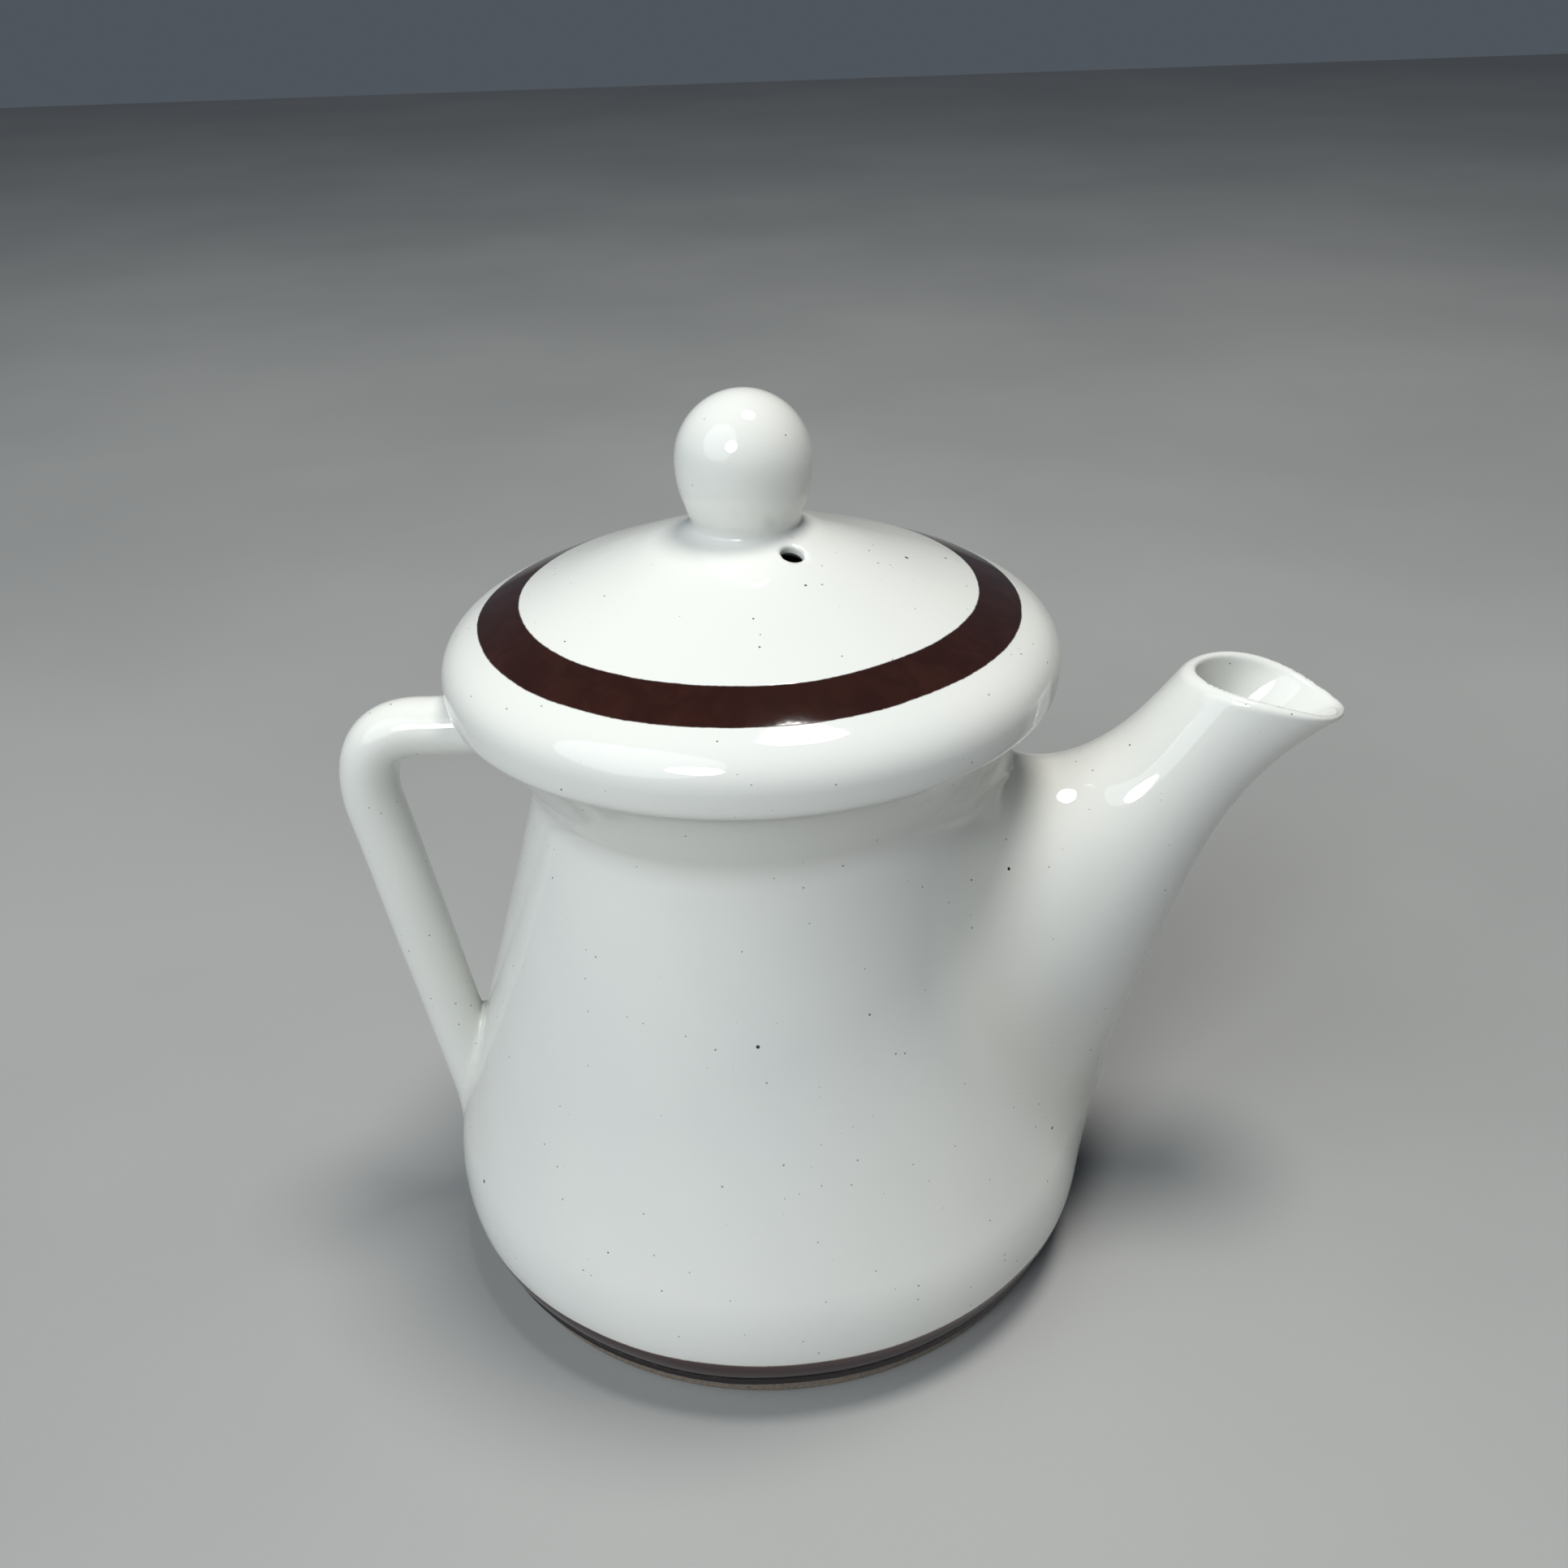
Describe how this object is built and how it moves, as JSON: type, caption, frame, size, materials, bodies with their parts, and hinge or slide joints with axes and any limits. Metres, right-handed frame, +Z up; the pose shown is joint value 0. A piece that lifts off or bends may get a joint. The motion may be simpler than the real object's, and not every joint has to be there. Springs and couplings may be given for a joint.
{
  "type": "teapot with infuser basket",
  "caption": "Glazed ceramic pot with a loop handle, beaked spout, domed lift-off lid with ball knob, and a removable perforated steel infuser basket inside.",
  "frame": {"origin": "under the middle of the pot's overall box, on the surface it stands on; the pot's own axis is at x = -0.0196", "axes": "+Z up along the pot's axis, +X towards the spout, the handle towards -X"},
  "size_m": [0.224, 0.154, 0.2044],
  "materials": {
    "white_glaze": "gloss",
    "bisque": "unglazed",
    "steel": "brushed"
  },
  "bodies": {
    "pot": {"pot_body": "white_glaze", "foot_ring": "bisque", "spout": "white_glaze", "handle": "white_glaze"},
    "infuser": {"infuser_rim": "steel", "infuser_wall": "steel", "infuser_base": "steel", "infuser_tab_front": "steel", "infuser_tab_back": "steel"},
    "lid": {"lid_cap": "white_glaze", "lid_flange": "white_glaze", "lid_knob": "white_glaze"}
  },
  "joints": [
    {"name": "infuser_lift", "type": "slide", "parent": "pot", "child": "infuser", "axis": [0, 0, 1], "range_m": [0, 0.09]},
    {"name": "lid_lift", "type": "slide", "parent": "infuser", "child": "lid", "axis": [0, 0, 1], "range_m": [0, 0.06]}
  ]
}
